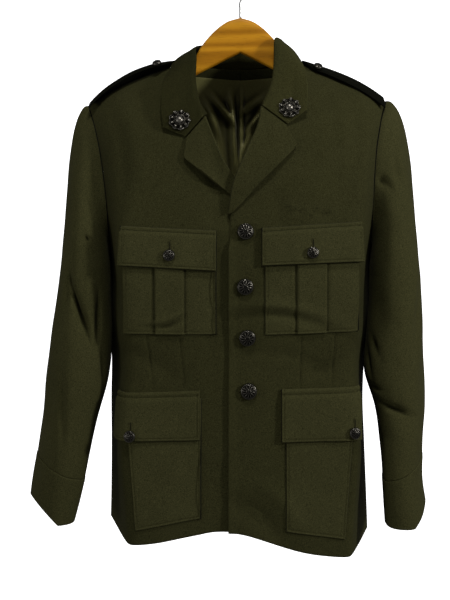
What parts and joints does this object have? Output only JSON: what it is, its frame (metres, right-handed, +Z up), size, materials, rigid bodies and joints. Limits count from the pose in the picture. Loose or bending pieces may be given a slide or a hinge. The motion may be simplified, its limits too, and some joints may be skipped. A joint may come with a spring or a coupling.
{
  "type": "military dress tunic on hanger",
  "caption": "Single-breasted military dress tunic with a notched collar, pleated chest pockets, flapped lower pockets and shoulder straps, on a wooden hanger.",
  "frame": {"origin": "top of the inside of the hanger's hook, where it sits on a rail", "axes": "+Z up, +X to the wearer's left, -Y out of the front of the tunic"},
  "size_m": [0.6456, 0.2314, 0.9367],
  "materials": {
    "wool": "dark olive worsted wool twill with a short nap",
    "strap_wool": "almost black olive wool",
    "satin": "olive satin lining",
    "bronze": "blackened bronze, satin",
    "wood": "golden brown varnish",
    "steel": "bright wire"
  },
  "bodies": {
    "root": {"back_left": "wool", "back_right": "wool", "badge_left": "bronze", "badge_right": "bronze", "chest_button_left": "bronze", "chest_button_right": "bronze", "chest_flap_left": "wool", "chest_flap_right": "wool", "chest_pocket_left": "wool", "chest_pocket_right": "wool", "collar": "wool", "cuff_left": "wool", "cuff_right": "wool", "front_button_1": "bronze", "front_button_2": "bronze", "front_button_3": "bronze", "front_button_4": "bronze", "front_left": "wool", "front_right": "wool", "hanger": "wood", "hook": "steel", "lapel_left": "wool", "lapel_right": "wool", "lining_back": "satin", "lower_button_left": "bronze", "lower_button_right": "bronze", "lower_flap_left": "wool", "lower_flap_right": "wool", "lower_pocket_left": "wool", "lower_pocket_right": "wool", "sleeve_top_left": "wool", "sleeve_top_right": "wool", "sleeve_under_left": "wool", "sleeve_under_right": "wool", "strap_button_left": "bronze", "strap_button_right": "bronze", "strap_left": "strap_wool", "strap_right": "strap_wool"}
  },
  "joints": []
}
